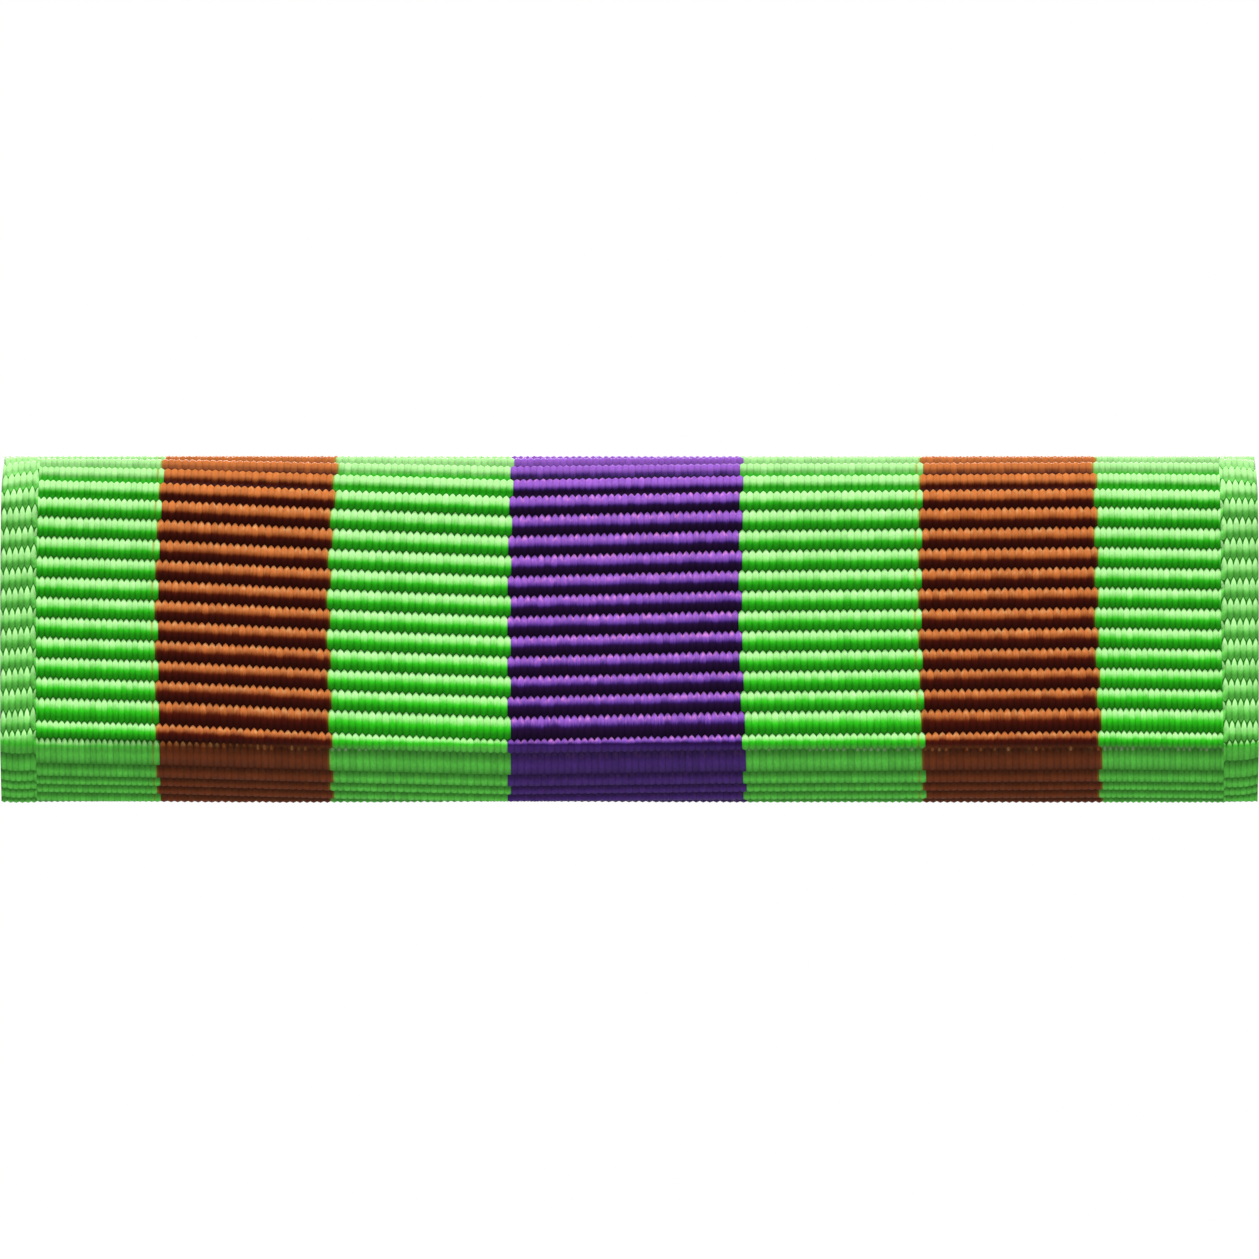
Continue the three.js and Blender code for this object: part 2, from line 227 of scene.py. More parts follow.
def sideways_pull(x, height):
    """How far the warps lie to the right of straight, at a share of the bar's height."""
    upper = np.clip(2 * height - 1, 0, 1) ** 2
    lower = np.clip(1 - 2 * height, 0, 1)
    top, bottom = (np.interp(x, band_borders, pull) for pull in (pull_at_top, pull_at_bottom))
    return upper * top + lower * bottom


def cloth_layers(rows):
    """Two grids of the flat cloth, a fine outer one and a coarse inner one, closed all round.
    A corner's x and y run from -0.5 to 0.5, and z is 0 on the outer layer and -1 on the inner."""
    bm = bmesh.new()
    bmesh.ops.create_grid(bm, x_segments=warp_count, y_segments=rows, size=0.5)
    inner = bmesh.ops.create_grid(bm, x_segments=inner_columns, y_segments=rows, size=0.5)
    bmesh.ops.translate(bm, verts=inner["verts"], vec=(0, 0, -1))
    for side in (-0.5, 0.5):
        selvedge = [e for e in bm.edges if all(abs(v.co.x - side) < 1e-6 for v in e.verts)]
        bmesh.ops.bridge_loops(bm, edges=selvedge)
    open_edges = [e for e in bm.edges if e.is_boundary]
    bmesh.ops.holes_fill(bm, edges=open_edges, sides=0)
    bmesh.ops.recalc_face_normals(bm, faces=bm.faces)
    mesh = bpy.data.meshes.new("ribbon_cloth")
    bm.to_mesh(mesh)
    bm.free()
    return mesh


def skin_at(path, lengths, along):
    """The section's points and its outward normals at distances along it."""
    def point(distance):
        distance = np.clip(distance, 0, lengths[-1])
        return np.interp(distance, lengths, path[:, 0]), np.interp(distance, lengths, path[:, 1])

    y, z = point(along)
    (y_ahead, z_ahead), (y_behind, z_behind) = point(along + normal_step), point(along - normal_step)
    dy, dz = y_ahead - y_behind, z_ahead - z_behind
    size = np.hypot(dy, dz)
    return y, z, dz / size, -dy / size


def build_ribbon():
    path, lengths, crease = ribbon_section()
    above = math.floor(crease / rib_pitch)
    below = math.floor((lengths[-1] - crease) / rib_pitch)
    mesh = cloth_layers((above + below) * rows_per_rib)

    flat = np.empty(len(mesh.vertices) * 3)
    mesh.vertices.foreach_get("co", flat)
    flat = flat.reshape(-1, 3)
    warp = (flat[:, 0] + 0.5) * warp_count
    rib = (0.5 - flat[:, 1]) * (above + below) - above
    outer = flat[:, 2] > -0.5
    x = np.interp(warp, warp_borders, band_borders)
    in_selvedge = (warp < selvedge_warps) | (warp > warp_count - selvedge_warps)
    phase = rib + 0.5 * in_selvedge
    side = (1 - 2 * (np.round(warp) % 2)) * outer
    swing = np.cos(np.pi * phase) * side
    over = np.sin(np.pi * phase) * side

    # Seeded, so each thread keeps its own slight slackness
    threads = np.random.default_rng(4).normal(1.0, slack_spread, warp_count + 1)
    slack = threads[np.round(warp).astype(int)]
    tooth = np.where(in_selvedge, selvedge_tooth_length, tooth_length) * slack
    tooth *= np.where(rib > wall_start, wall_tooth_share, 1.0)
    tooth *= np.where(swing > 0, swing, lower_tooth_share * swing)

    # The ribs bow across the face, and run straight where the ends are tucked in
    from_end = np.minimum(rib + above, below - rib)
    tucked = np.clip(from_end / tucked_ribs, 0, 1)
    bow = np.interp(x, band_borders, rib_sag) * tucked * tucked * (3 - 2 * tucked)
    along = crease + rib * rib_pitch + wall_drift(rib) + bow - tooth * np.clip(from_end, 0, 1)
    along = np.clip(along, 0, lengths[-1])
    y, z, normal_y, normal_z = skin_at(path, lengths, along)

    round_rib = np.abs(np.sin(np.pi * phase)) ** rib_fullness
    pressed = np.interp(normal_z, [-1.0, -0.6, -0.3], [back_relief, under_relief, 1.0])
    rib_depth = np.where(in_selvedge, selvedge_relief, rib_relief)
    relief = crown_height - pressed * rib_depth * (1 - round_rib)
    relief += thread_relief * slack * (over - 1)
    relief *= np.clip(2 * from_end, 0, 1)
    edge = np.clip((np.abs(x) - band_borders[-1]) / edge_roll_width + 1, 0, 1)
    height = np.where(outer, relief - edge_roll * edge ** 3 * np.abs(normal_y), -thickness)
    bottom, top = path[:, 1].min(), path[:, 1].max()
    share = (z - bottom) / (top - bottom)
    x = x + sideways_pull(x, share)
    near_top = np.clip((share - top_corner_share) / (1 - top_corner_share), 0, 1)
    x -= np.sign(x) * edge * corner_rounding * near_top ** 2

    points = np.column_stack((x, y + normal_y * height, z + normal_z * height)) * MM
    mesh.vertices.foreach_set("co", points.ravel())
    loops = np.empty(len(mesh.loops), dtype=np.int32)
    mesh.loops.foreach_get("vertex_index", loops)
    layer = mesh.uv_layers.new(name="weave")
    even_above = above + above % 2
    layer.data.foreach_set("uv", np.column_stack((warp, rib + even_above))[loops].ravel())
    # The lean drives only the painted light and shade, with the painted bulge tilting it further back
    # towards the top
    lean = mesh.attributes.new("lean", "FLOAT", "POINT")
    lean.data.foreach_set("value", section_lean(path, lengths, along) + painted_lean_bulge * (share - 0.5))
    mesh.polygons.foreach_set("use_smooth", np.ones(len(mesh.polygons), dtype=bool))
    mesh.update()
    ribbon = bpy.data.objects.new("woven_ribbon", mesh)
    bpy.context.scene.collection.objects.link(ribbon)
    return ribbon


ribbon = build_ribbon()

# ---- Node helpers ----


class Nodes:
    """Adds nodes to one tree. A value is a number, a tuple or another node's output."""

    def __init__(self, tree):
        self.tree = tree

    def add(self, kind, inputs=(), output=0, **settings):
        node = self.tree.nodes.new(kind)
        for name, value in settings.items():
            setattr(node, name, value)
        for key, value in dict(inputs).items():
            if isinstance(value, bpy.types.NodeSocket):
                self.tree.links.new(value, node.inputs[key])
            else:
                node.inputs[key].default_value = value
        return node.outputs[output]

    def math(self, operation, *values):
        return self.add("ShaderNodeMath", enumerate(values), operation=operation)

    def span(self, value, low, high, to_low=0.0, to_high=1.0):
        """The value from low to high, eased on to another range and held at its ends."""
        inputs = {0: value, 1: low, 2: high, 3: to_low, 4: to_high}
        return self.add("ShaderNodeMapRange", inputs, interpolation_type="SMOOTHSTEP")

    def mix(self, factor, first, second, blend="MIX"):
        inputs = {0: factor, 6: first, 7: second}
        return self.add("ShaderNodeMix", inputs, output=2, data_type="RGBA", blend_type=blend)

    def vector(self, x=0.0, y=0.0, z=0.0):
        return self.add("ShaderNodeCombineXYZ", {0: x, 1: y, 2: z})

    def noise(self, vector, scale, detail=2.0, roughness=0.5):
        inputs = {"Vector": vector, "Scale": scale, "Detail": detail, "Roughness": roughness}
        return self.add("ShaderNodeTexNoise", inputs, output="Fac")

    def chance(self, vector):
        """A steady random number from 0 to 1 for each vector."""
        return self.add("ShaderNodeTexWhiteNoise", {"Vector": vector}, output="Value")


def new_material(name):
    material = bpy.data.materials.new(name)
    material.use_nodes = True
    return material, Nodes(material.node_tree), material.node_tree.nodes["Principled BSDF"]


# ---- Ribbon colour, with painted light and shade ----

# Linear colours of the dyed yarn as painted lit and shaded copies: painted lit where it faces up to the
# overhead lamp, between, painted shaded where it faces away, and its odd paler flecks, partly a paler
# thread tone and partly painted highlight
yarns = {
    "green": (
        (0.40, 0.82, 0.29, 1), (0.100, 0.69, 0.050, 1), (0.028, 0.62, 0.011, 1), (0.52, 0.88, 0.40, 1)),
    "brown": (
        (0.54, 0.155, 0.034, 1), (0.16, 0.026, 0.004, 1), (0.072, 0.006, 0.0015, 1), (0.62, 0.28, 0.10, 1)),
    "purple": (
        (0.28, 0.095, 0.52, 1), (0.050, 0.017, 0.22, 1), (0.022, 0.004, 0.046, 1), (0.60, 0.20, 0.62, 1)),
}
lit_yarn, middle_yarn, shaded_yarn, pale_yarn = range(4)

tip_length = 0.13  # of a thread's rounded tip, as a share of a rib
selvedge_tip_length = 0.3
rib_roundness = 2.2  # radians of turn from a rib's top to its bottom
painted_bounce_light = 0.36  # painted light on the wall, standing in for light thrown back up from below
# Painted light added on the selvedge's face, which is painted lighter than the rest of the face
selvedge_painted_light = 0.4
border_colour = (0.42, 0.34, 0.03, 1)

# Ranges of the sine of the lean, 0 on the upright face, 1 on the level top, negative on the wall: where the
# wall gets its painted bounce light, where the selvedge's painted light fades, where the painted shade
# beside the tips fades and where the painted fold shadow falls
painted_bounce_range = (-0.25, -0.68)
selvedge_fade = (-0.6, -0.2)
tip_fade = (-0.78, -0.3)
fold_shadow = (-0.3, -0.72)


def stripes(nodes, position, shade):
    """The stripe's yarn colour at a share of the ribbon's width."""
    ramp = nodes.tree.nodes.new("ShaderNodeValToRGB")
    ramp.color_ramp.interpolation = "CONSTANT"
    nodes.tree.links.new(position, ramp.inputs["Fac"])
    for index, (start, band) in enumerate(zip(warp_borders, bands)):
        if index < 2:
            stop = ramp.color_ramp.elements[index]
            stop.position = start / warp_count
        else:
            stop = ramp.color_ramp.elements.new(start / warp_count)
        stop.color = yarns[band[2]][shade]
    return ramp.outputs["Color"]


def border_distance(nodes, warp, parity):
    """How many warps lie between here and the nearest border of green and brown."""
    nearest = 99.0
    for start, before, after in zip(warp_borders[1:], bands, bands[1:]):
        if {before[2], after[2]} == {"green", "brown"}:
            step = nodes.math("FLOORED_MODULO", nodes.math("ADD", parity, float(start)), 2.0)
            edge = nodes.math("ADD", step, float(start - 1))
            away = nodes.math("ABSOLUTE", nodes.math("SUBTRACT", warp, edge))
            nearest = nodes.math("MINIMUM", away, nearest)
    return nearest


def woven_thread(nodes):
    """Sockets that say which warp thread lies over the rib here, and where on it the point is."""
    uv = nodes.add("ShaderNodeUVMap", uv_map="weave")
    split = nodes.tree.nodes.new("ShaderNodeSeparateXYZ")
    nodes.tree.links.new(uv, split.inputs[0])
    warp = split.outputs[0]
    left = nodes.math("LESS_THAN", warp, float(selvedge_warps))
    right = nodes.math("GREATER_THAN", warp, float(warp_count - selvedge_warps))
    selvedge = nodes.math("ADD", left, right)
    place = nodes.math("MULTIPLY_ADD", selvedge, 0.5, split.outputs[1])
    rib = nodes.math("FLOOR", place)
    parity = nodes.math("FLOORED_MODULO", rib, 2.0)
    half = nodes.math("MULTIPLY", nodes.math("SUBTRACT", warp, parity), 0.5)
    thread = nodes.math("MULTIPLY_ADD", nodes.math("ROUND", half), 2.0, parity)
    across = nodes.math("SUBTRACT", warp, thread)
    return SimpleNamespace(
        warp=warp, selvedge=selvedge, place=place, rib=rib, parity=parity, thread=thread,
        down=nodes.math("SUBTRACT", place, rib), across=across,
        round_side=nodes.math("POWER", nodes.math("ABSOLUTE", across), 2.0))


def tip_notch(nodes, weave, level):
    """The gap beside a thread's rounded tip, where it comes up from under the rib above, as a mask for the
    painted shade there.
    """
    reach = nodes.math("MULTIPLY_ADD", weave.selvedge, selvedge_tip_length - tip_length, tip_length)
    tip = nodes.math("DIVIDE", nodes.math("SUBTRACT", reach, weave.down), reach)
    tip = nodes.math("MAXIMUM", tip, 0.0)
    beside = nodes.math("MULTIPLY", weave.across, weave.across)
    out_of_tip = nodes.math("MULTIPLY_ADD", tip, tip, beside)
    notch = nodes.math("MULTIPLY", nodes.span(out_of_tip, 0.4, 0.95), nodes.span(tip, 0.0, 0.35))
    return nodes.math("MULTIPLY", notch, nodes.span(level, *tip_fade, 0.1, 1.0))


def painted_crease_highlights(nodes, weave, lean, yarn_chance):
    """Painted highlight dots where the tips of the first rib past the crease stand up to the light."""
    on_crease = nodes.math("MULTIPLY", nodes.span(lean, -0.97, -0.9), nodes.span(lean, -0.4, -0.7))
    near_middle = nodes.span(nodes.math("ABSOLUTE", weave.across), 0.7, 0.2)
    dots = nodes.math("MULTIPLY", nodes.span(weave.down, 0.2, 0.08), near_middle)
    dots = nodes.math("MULTIPLY", dots, on_crease)
    return nodes.math("MULTIPLY", dots, nodes.span(yarn_chance, 0.0, 0.8))


def painted_yarn_light(nodes, weave, lean, level, filaments, yarn_chance, notch):
    """How much painted light the yarn gets here, by how far it turns up towards the overhead lamp: from 0
    on its painted shaded side to 1 on its crown.
    """
    turn = nodes.math("MULTIPLY_ADD", nodes.math("SUBTRACT", 0.5, weave.down), rib_roundness, lean)
    fuzz = nodes.math("MULTIPLY_ADD", filaments, 0.4, -0.2)
    upward = nodes.math("ADD", nodes.math("SINE", turn), fuzz)
    upward = nodes.math("ADD", upward, nodes.math("MULTIPLY_ADD", yarn_chance, 0.16, -0.08))
    painted_light = nodes.span(upward, -0.45, 0.85)
    # Painted bounce light on the wall, as if thrown back up from below
    painted_light = nodes.math("MAXIMUM", painted_light, nodes.span(level, *painted_bounce_range, 0.0, painted_bounce_light))
    # The selvedge's face is painted lighter
    at_edge = nodes.span(level, *selvedge_fade, 0.0, selvedge_painted_light)
    at_edge = nodes.math("MULTIPLY", nodes.math("SUBTRACT", 1.0, painted_light), at_edge)
    painted_light = nodes.math("MULTIPLY_ADD", at_edge, weave.selvedge, painted_light)
    painted_light = nodes.math("MAXIMUM", painted_light, painted_crease_highlights(nodes, weave, lean, yarn_chance))
    return nodes.math("MULTIPLY", painted_light, nodes.math("MULTIPLY_ADD", notch, -0.8, 1.0))


def yarn_colour(nodes, weave, painted_light):
    """The yarn's colour, mixed from its painted lit and painted shaded copies by the painted light, with a
    mixed thread along each border of green and brown that shows more where painted lit.
    """
    position = nodes.math("DIVIDE", nodes.math("ADD", weave.thread, 0.5), float(warp_count))
    mottle_place = nodes.vector(weave.warp, nodes.math("MULTIPLY", weave.place, 4.0), 5.0)
    mottle = nodes.noise(mottle_place, 0.8, 2.0)
    # Odd paler flecks near each rib's top, laid only on the painted lit copy: partly a paler thread tone,
    # partly painted highlight
    flecks = nodes.math("MULTIPLY", nodes.span(mottle, 0.45, 0.7), nodes.span(weave.down, 0.45, 0.1))
    lit, middle, shaded, fleck = (
        stripes(nodes, position, shade) for shade in (lit_yarn, middle_yarn, shaded_yarn, pale_yarn))
    lit = nodes.mix(flecks, lit, fleck)
    shaded = nodes.mix(nodes.span(painted_light, 0.0, 0.6), shaded, middle)
    colour = nodes.mix(nodes.span(painted_light, 0.15, 1.0), shaded, lit)
    border = nodes.span(border_distance(nodes, weave.warp, weave.parity), 0.8, 0.1)
    border = nodes.math("MULTIPLY", border, nodes.math("MULTIPLY_ADD", painted_light, 0.45, 0.15))
    return nodes.mix(border, colour, border_colour)


def painted_shade_and_tone(nodes, weave, level, yarn_chance, notch):
    """Painted shade low on each rib and between threads, painted shadow in the fold and painted shade
    beside the tips, with a tone that differs at random from thread to thread, as a grey.
    """
    # Painted shade towards the bottom of each rib, lighter on the selvedge
    darkening = nodes.math("MULTIPLY_ADD", weave.selvedge, -0.25, 0.5)
    depth = nodes.math("MULTIPLY", nodes.span(weave.down, 0.45, 1.05), darkening)
    depth = nodes.math("SUBTRACT", 1.0, depth)
    # Painted shadow on the upper half of each rib on the wall, in the fold
    folded = nodes.math("MULTIPLY", nodes.span(level, *fold_shadow), nodes.span(weave.down, 0.5, 0.0))
    depth = nodes.math("MULTIPLY", depth, nodes.math("MULTIPLY_ADD", folded, -0.6, 1.0))
    # Painted shade at the sides of each thread and beside its tip
    side = nodes.math("MULTIPLY", weave.round_side, weave.round_side)
    gap = nodes.math("MULTIPLY_ADD", side, -0.30, 1.0)
    gap = nodes.math("MULTIPLY", gap, nodes.math("MULTIPLY_ADD", notch, -0.7, 1.0))
    warp_chance = nodes.chance(nodes.vector(weave.thread, 7.0, 1.0))
    vary = nodes.math("MULTIPLY_ADD", yarn_chance, 0.12, 0.94)
    vary = nodes.math("MULTIPLY", vary, nodes.math("MULTIPLY_ADD", warp_chance, 0.12, 0.94))
    grain_along = nodes.math("MULTIPLY", weave.place, 5.0)
    grain_place = nodes.vector(nodes.math("MULTIPLY", weave.warp, 1.5), grain_along, 9.0)
    grain = nodes.noise(grain_place, 1.3, 2.0)
    vary = nodes.math("MULTIPLY", vary, nodes.math("MULTIPLY_ADD", grain, 0.5, 0.75))
    dark = nodes.math("MULTIPLY", nodes.math("MULTIPLY", depth, gap), vary)
    return nodes.add("ShaderNodeCombineColor", {0: dark, 1: dark, 2: dark})


def ribbon_material():
    material, nodes, shader = new_material("ribbon_cloth")
    weave = woven_thread(nodes)
    lean = nodes.add("ShaderNodeAttribute", output="Fac", attribute_name="lean")
    level = nodes.math("SINE", lean)
    filament_place = nodes.vector(nodes.math("MULTIPLY", weave.warp, 2.6), weave.place, 0.0)
    filaments = nodes.noise(filament_place, 1.7, 3.0)
    yarn_chance = nodes.chance(nodes.vector(weave.thread, weave.rib, 3.0))
    notch = tip_notch(nodes, weave, level)
    painted_light = painted_yarn_light(nodes, weave, lean, level, filaments, yarn_chance, notch)
    shade = painted_shade_and_tone(nodes, weave, level, yarn_chance, notch)
    # The painted lit and shaded yarn colour, darkened by the painted shade and by the random thread tone
    colour = nodes.mix(1.0, yarn_colour(nodes, weave, painted_light), shade, "MULTIPLY")
    nodes.tree.links.new(colour, shader.inputs["Base Color"])

    rough = nodes.math("MULTIPLY_ADD", filaments, 0.25, 0.42)
    nodes.tree.links.new(rough, shader.inputs["Roughness"])
    crown = nodes.math("SUBTRACT", 1.0, weave.round_side)
    height = nodes.math("MULTIPLY_ADD", filaments, 0.35, crown)
    bump = nodes.add(
        "ShaderNodeBump", {"Strength": 0.4, "Distance": 0.03 * MM, "Height": height}, output="Normal")
    nodes.tree.links.new(bump, shader.inputs["Normal"])
    shader.inputs["Specular IOR Level"].default_value = 0.06
    return material


ribbon.data.materials.append(ribbon_material())
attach(ribbon, "ribbon_unit")
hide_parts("ribbon")

# ---- Sheet metal and turned parts, in millimetres ----

carrier_sheet = 0.3
carrier_bend_radius = 0.6
cloth_gap = 0.05
bar_sheet = 0.5
bar_bend_radius = 0.4
web_gap = 0.15  # between the bar's raised web and the ribbon's hooks
clutch_sheet = 0.3
hole_radius = 0.55
pin_radius = 0.5
pin_neck_radius = 0.4
pin_neck_length = 0.8
pin_neck_taper = 0.1
pin_point_length = 0.9
pin_tip_radius = 0.05
head_gap = 0.05
rim_radius = 0.22
eyelet_bend_radius = 0.17
eyelet_radius = 0.77  # to the middle of the sheet
flange_radius = 1.35
saddle_gap = 0.05  # round the eyelet
skirt_height = 0.6  # how far the cap's rim stands up from its floor
wing_foot_gap = 0.7  # from the eyelet's rim to a wing's foot
jaw_half_width = 1.7
jaw_overrun = 1.7
shoulder_gap = 0.3
shoulder_length = 1.6
ear_radius = 1.5
throat_radius = 0.56
eye_radius = 0.68
eye_offset = 0.62
loop_fullness = 0.995  # the radius of a finger loop's two corners over half its depth
hole_block = 1.1  # half the width of the finer grid round a hole


def piece_from(bm, name, thickness=0.0, edge=0.0, steps=2):
    """Makes a piece of a mesh in millimetres, with an even thickness and rounded edges."""
    bmesh.ops.remove_doubles(bm, verts=bm.verts, dist=1e-5)
    bmesh.ops.recalc_face_normals(bm, faces=bm.faces)
    bmesh.ops.scale(bm, verts=bm.verts, vec=(MM, MM, MM))
    for face in bm.faces:
        face.smooth = True
    mesh = bpy.data.meshes.new(name)
    bm.to_mesh(mesh)
    bm.free()
    piece = bpy.data.objects.new(name, mesh)
    bpy.context.scene.collection.objects.link(piece)
    if thickness:
        wall = piece.modifiers.new("wall", "SOLIDIFY")
        wall.thickness = thickness * MM
        wall.offset = 0
        wall.use_even_offset = True
    if edge:
        rounding = piece.modifiers.new("edges", "BEVEL")
        rounding.width = edge * MM
        rounding.segments = steps
        rounding.limit_method = "ANGLE"
        rounding.angle_limit = math.radians(50)
        rounding.harden_normals = True
    return piece


def run_of(*stops):
    """Places along a run: each stop after the first is (place, number of steps to it)."""
    places = [np.array(stops[:1], dtype=float)]
    for place, steps in stops[1:]:
        places.append(np.linspace(places[-1][-1], place, steps + 1)[1:])
    return np.concatenate(places)


def along_path(path, distance):
    """Points of a (u, v) path at distances along it."""
    lengths = path_lengths(path)
    return np.interp(distance, lengths, path[:, 0]), np.interp(distance, lengths, path[:, 1])


def path_places(path, gaps):
    """The distance along a path to each of its points, with long straight runs split to fit."""
    lengths = path_lengths(path)
    stops = [(end, max(1, round((end - start) / gaps))) for start, end in zip(lengths, lengths[1:])]
    return run_of(lengths[0], *stops)


def bar_section(path):
    """Places a sheet's (x, distance) on a section path that runs the length of the bar."""
    def place(x, distance):
        y, z = along_path(path, distance)
        return np.column_stack((x, y, z))

    return place


def bent_sheet(name, us, vs, place, thickness, edge, holes=()):
    """A sheet laid on place(u, v). A hole is (column, row, cells, hollow, centre, reach): the grid
    is drawn in round it over that many cells, and reach gives its edge in each direction."""
    bm = bmesh.new()
    bmesh.ops.create_grid(bm, x_segments=len(us) - 1, y_segments=len(vs) - 1, size=0.5)
    corners = list(bm.verts)
    flat = np.array([corner.co[:2] for corner in corners]) + 0.5
    column = np.round(flat[:, 0] * (len(us) - 1))
    row = np.round(flat[:, 1] * (len(vs) - 1))

    def laid(i, j):
        return place(np.interp(i, range(len(us)), us), np.interp(j, range(len(vs)), vs))

    points = laid(column, row)
    empty = np.zeros(len(points), dtype=bool)
    for hole_column, hole_row, cells, hollow, centre, reach in holes:
        di, dj = column - hole_column, row - hole_row
        ring = np.maximum(abs(di), abs(dj))
        grow = cells / np.maximum(ring, 1)
        outer = laid(hole_column + di * grow, hole_row + dj * grow)
        arm = outer - centre
        arm /= np.maximum(np.linalg.norm(arm, axis=1, keepdims=True), 1e-9)
        lip = centre + arm * reach(arm)[:, None]
        share = np.clip((ring - hollow) / (cells - hollow), 0, 1)[:, None]
        near = (ring < cells) & (ring > 0)
        points[near] = (lip + (outer - lip) * share)[near]
        empty |= ring < hollow
    for corner, point in zip(corners, points):
        corner.co = point
    gone = [corner for corner, out in zip(corners, empty) if out]
    bmesh.ops.delete(bm, geom=gone, context="VERTS")
    return piece_from(bm, name, thickness, edge)


def turned(name, profile, x, thickness=0.0, edge=0.0, steps=64):
    """A profile of (radius, y) points spun round an axis along Y."""
    bm = bmesh.new()
    corners = [bm.verts.new((x + radius, y, 0)) for radius, y in profile]
    edges = [bm.edges.new(pair) for pair in zip(corners, corners[1:])]
    bmesh.ops.spin(bm, geom=corners + edges, cent=(x, 0, 0), axis=(0, 1, 0), dvec=(0, 0, 0),
                   angle=2 * math.pi, steps=steps, use_merge=True, use_duplicate=False)
    return piece_from(bm, name, thickness, edge)


def build_carrier():
    low, high = box_mm("ribbon_carrier")
    inset = thickness + cloth_gap + carrier_sheet / 2
    back = high[1] - carrier_sheet / 2
    top = high[2] - carrier_sheet / 2
    lip = box_mm("mount_bar")[1][2] - lip_lap
    crease, knee, foot = leaning_wall(inset, back)
    path = rounded_path([
        (back, lip, 0),
        (back, top, carrier_bend_radius),
        (low[1] + carrier_sheet / 2, top, carrier_bend_radius),
        crease,
        knee,
        (*foot, tight_bend_radius),
        (back, -lip, 0),
    ], math.radians(9))

    xs = run_of(low[0], (high[0], 40))
    return bent_sheet("brass_carrier", xs, path_places(path, 0.8), bar_section(path), carrier_sheet, 0.05)


def build_bar():
    low, high = box_mm("mount_bar")
    web = high[1] - bar_sheet / 2
    rail = low[1] + bar_sheet / 2
    riser = rail_hook() - web_gap - bar_sheet / 2
    path = rounded_path([
        (rail, high[2], 0),
        (rail, riser, bar_bend_radius),
        (web, riser, bar_bend_radius),
        (web, -riser, bar_bend_radius),
        (rail, -riser, bar_bend_radius),
        (rail, low[2], 0),
    ], math.radians(9))

    # The upper rail and bends, the flat web in 12 rows, and the lower rail as the upper one's mirror
    total = path_lengths(path)[-1]
    upper = path[path[:, 1] > riser - bar_bend_radius - 1e-6]
    ends = path_places(upper, 0.4)
    web_rows = run_of(ends[-1], (total - ends[-1], 12))[1:-1]
    distances = np.concatenate((ends, web_rows, total - ends[::-1]))
    middle_row = len(ends) + 5

    left, right = (middle_of("pin_" + side)[0] for side in ("left", "right"))
    xs = run_of(low[0], (left - hole_block, 12), (left + hole_block, 12), (right - hole_block, 24),
                (right + hole_block, 12), (high[0], 12))

    def round_hole(arm):
        return np.full(len(arm), hole_radius)

    holes = [(column, middle_row, 6, 3, np.array((pin, web, 0.0)), round_hole)
             for column, pin in ((18, left), (54, right))]
    return bent_sheet("nickel_bar", xs, distances, bar_section(path), bar_sheet, 0.06, holes)


def build_pin(side):
    low, high = box_mm("pin_" + side)
    axis = middle_of("pin_" + side)[0]
    head = high[0] - axis
    head_back = -bar_sheet - head_gap
    jaws = [box_mm(f"clutch_{side}_wing_{half}")[1][1] for half in ("outer", "inner")]
    neck = (sum(jaws) - clutch_sheet) / 2
    neck_start, neck_end = neck - pin_neck_length / 2, neck + pin_neck_length / 2
    corners = [
        (0.0, low[1], 0),
        (head, low[1], 0.12),
        (head, head_back, 0.06),
        (pin_radius, head_back, 0.04),
        (pin_radius, neck_start - pin_neck_taper, 0.06),
        (pin_neck_radius, neck_start, 0.06),
        (pin_neck_radius, neck_end, 0.06),
        (pin_radius, neck_end + pin_neck_taper, 0.06),
        (pin_radius, high[1] - pin_point_length, 0.6),
        (pin_tip_radius, high[1], 0.04),
        (0.0, high[1], 0),
    ]
    return turned("steel_pin_" + side, rounded_path(corners, math.radians(15)), axis, steps=48)


def build_cap(side):
    low, high = box_mm(f"clutch_{side}_cap")
    x, radius = (low[0] + high[0]) / 2, (high[0] - low[0]) / 2
    half = clutch_sheet / 2
    floor_level, flange = low[1] + half, high[1] - half
    rim = low[1] + skirt_height
    path = rounded_path([
        (flange_radius, flange, 0),
        (eyelet_radius, flange, eyelet_bend_radius),
        (eyelet_radius, floor_level, eyelet_bend_radius),
        (radius - half, floor_level, rim_radius),
        (radius - half, rim, 0),
    ], math.radians(15))
    return turned(f"clutch_cap_{side}", path, x, clutch_sheet, 0.07, steps=72)


def build_saddle(side):
    low, high = box_mm(f"clutch_{side}_saddle")
    centre = (low + high) / 2
    radius = (high[2] - low[2]) / 2
    straight = (high[0] - low[0]) / 2 - radius
    bm = bmesh.new()
    rims = []
    hole = eyelet_radius + clutch_sheet / 2 + saddle_gap
    for size, stretch in ((radius, straight), (hole, 0.0)):
        ring = bmesh.ops.create_circle(bm, segments=64, radius=size)["verts"]
        for corner in ring:
            reach = stretch * np.sign(round(corner.co.x, 4))
            corner.co = (centre[0] + corner.co.x + reach, centre[1], corner.co.y)
        rims += {edge for corner in ring for edge in corner.link_edges}
    bmesh.ops.bridge_loops(bm, edges=rims)
    return piece_from(bm, f"clutch_saddle_{side}", clutch_sheet, 0.05)


